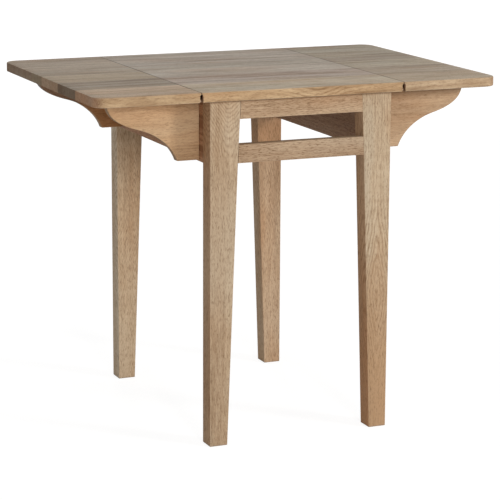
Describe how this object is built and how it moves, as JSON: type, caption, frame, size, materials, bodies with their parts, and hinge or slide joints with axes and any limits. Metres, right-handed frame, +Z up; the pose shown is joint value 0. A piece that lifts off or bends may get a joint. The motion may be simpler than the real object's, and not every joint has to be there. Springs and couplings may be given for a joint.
{
  "type": "drop-leaf dining table",
  "caption": "Wooden drop-leaf dining table: fixed centre top, hinged leaves held by swing-out ogee brackets, tapered legs, open front rails.",
  "frame": {"origin": "on the floor under the middle of the top", "axes": "+X across the leaves, from left leaf to right leaf; -Y towards the front; +Z up"},
  "size_m": [0.919, 0.638, 0.76],
  "materials": {
    "top": "matt oiled",
    "leg": "matt oiled",
    "rail": "matt oiled",
    "bracket": "matt oiled",
    "cleat": "raw",
    "steel": "dull"
  },
  "bodies": {
    "frame": {"center_top": "top", "front_left_leg": "leg", "front_right_leg": "leg", "back_left_leg": "leg", "back_right_leg": "leg", "front_upper_rail": "rail", "front_lower_rail": "rail", "back_upper_rail": "rail", "back_lower_rail": "rail", "left_apron": "rail", "right_apron": "rail", "left_cleat": "cleat", "right_cleat": "cleat", "left_cleat_screw_1": "steel", "left_cleat_screw_2": "steel", "left_cleat_screw_3": "steel", "left_cleat_screw_4": "steel", "right_cleat_screw_1": "steel", "right_cleat_screw_2": "steel", "right_cleat_screw_3": "steel", "right_cleat_screw_4": "steel", "left_leaf_hinge_fixed_plate": "steel", "left_leaf_hinge_pin": "steel", "right_leaf_hinge_fixed_plate": "steel", "right_leaf_hinge_pin": "steel", "front_left_bracket_upper_hinge_fixed_plate": "steel", "front_left_bracket_upper_hinge_pin": "steel", "front_left_bracket_lower_hinge_fixed_plate": "steel", "front_left_bracket_lower_hinge_pin": "steel", "front_right_bracket_upper_hinge_fixed_plate": "steel", "front_right_bracket_upper_hinge_pin": "steel", "front_right_bracket_lower_hinge_fixed_plate": "steel", "front_right_bracket_lower_hinge_pin": "steel", "back_left_bracket_upper_hinge_fixed_plate": "steel", "back_left_bracket_upper_hinge_pin": "steel", "back_left_bracket_lower_hinge_fixed_plate": "steel", "back_left_bracket_lower_hinge_pin": "steel", "back_right_bracket_upper_hinge_fixed_plate": "steel", "back_right_bracket_upper_hinge_pin": "steel", "back_right_bracket_lower_hinge_fixed_plate": "steel", "back_right_bracket_lower_hinge_pin": "steel"},
    "left_leaf_body": {"left_leaf": "top", "left_leaf_hinge_moving_plate": "steel"},
    "right_leaf_body": {"right_leaf": "top", "right_leaf_hinge_moving_plate": "steel"},
    "front_left_bracket_body": {"front_left_bracket": "bracket", "front_left_bracket_upper_hinge_moving_plate": "steel", "front_left_bracket_lower_hinge_moving_plate": "steel"},
    "front_right_bracket_body": {"front_right_bracket": "bracket", "front_right_bracket_upper_hinge_moving_plate": "steel", "front_right_bracket_lower_hinge_moving_plate": "steel"},
    "back_left_bracket_body": {"back_left_bracket": "bracket", "back_left_bracket_upper_hinge_moving_plate": "steel", "back_left_bracket_lower_hinge_moving_plate": "steel"},
    "back_right_bracket_body": {"back_right_bracket": "bracket", "back_right_bracket_upper_hinge_moving_plate": "steel", "back_right_bracket_lower_hinge_moving_plate": "steel"}
  },
  "joints": [
    {"name": "left_leaf_hinge", "type": "hinge", "parent": "frame", "child": "left_leaf_body", "pos_m": [-0.231, 0, 0.7424], "axis": [0, 1, 0], "range_deg": [0, 2.5]},
    {"name": "right_leaf_hinge", "type": "hinge", "parent": "frame", "child": "right_leaf_body", "pos_m": [0.231, 0, 0.7424], "axis": [0, -1, 0], "range_deg": [0, 2.5]},
    {"name": "front_left_bracket_hinge", "type": "hinge", "parent": "frame", "child": "front_left_bracket_body", "pos_m": [-0.208, -0.2268, 0.675], "axis": [0, 0, -1], "range_deg": [0, 90]},
    {"name": "front_right_bracket_hinge", "type": "hinge", "parent": "frame", "child": "front_right_bracket_body", "pos_m": [0.208, -0.2268, 0.675], "axis": [0, 0, 1], "range_deg": [0, 90]},
    {"name": "back_left_bracket_hinge", "type": "hinge", "parent": "frame", "child": "back_left_bracket_body", "pos_m": [-0.208, 0.2268, 0.675], "axis": [0, 0, 1], "range_deg": [0, 90]},
    {"name": "back_right_bracket_hinge", "type": "hinge", "parent": "frame", "child": "back_right_bracket_body", "pos_m": [0.208, 0.2268, 0.675], "axis": [0, 0, -1], "range_deg": [0, 90]}
  ]
}
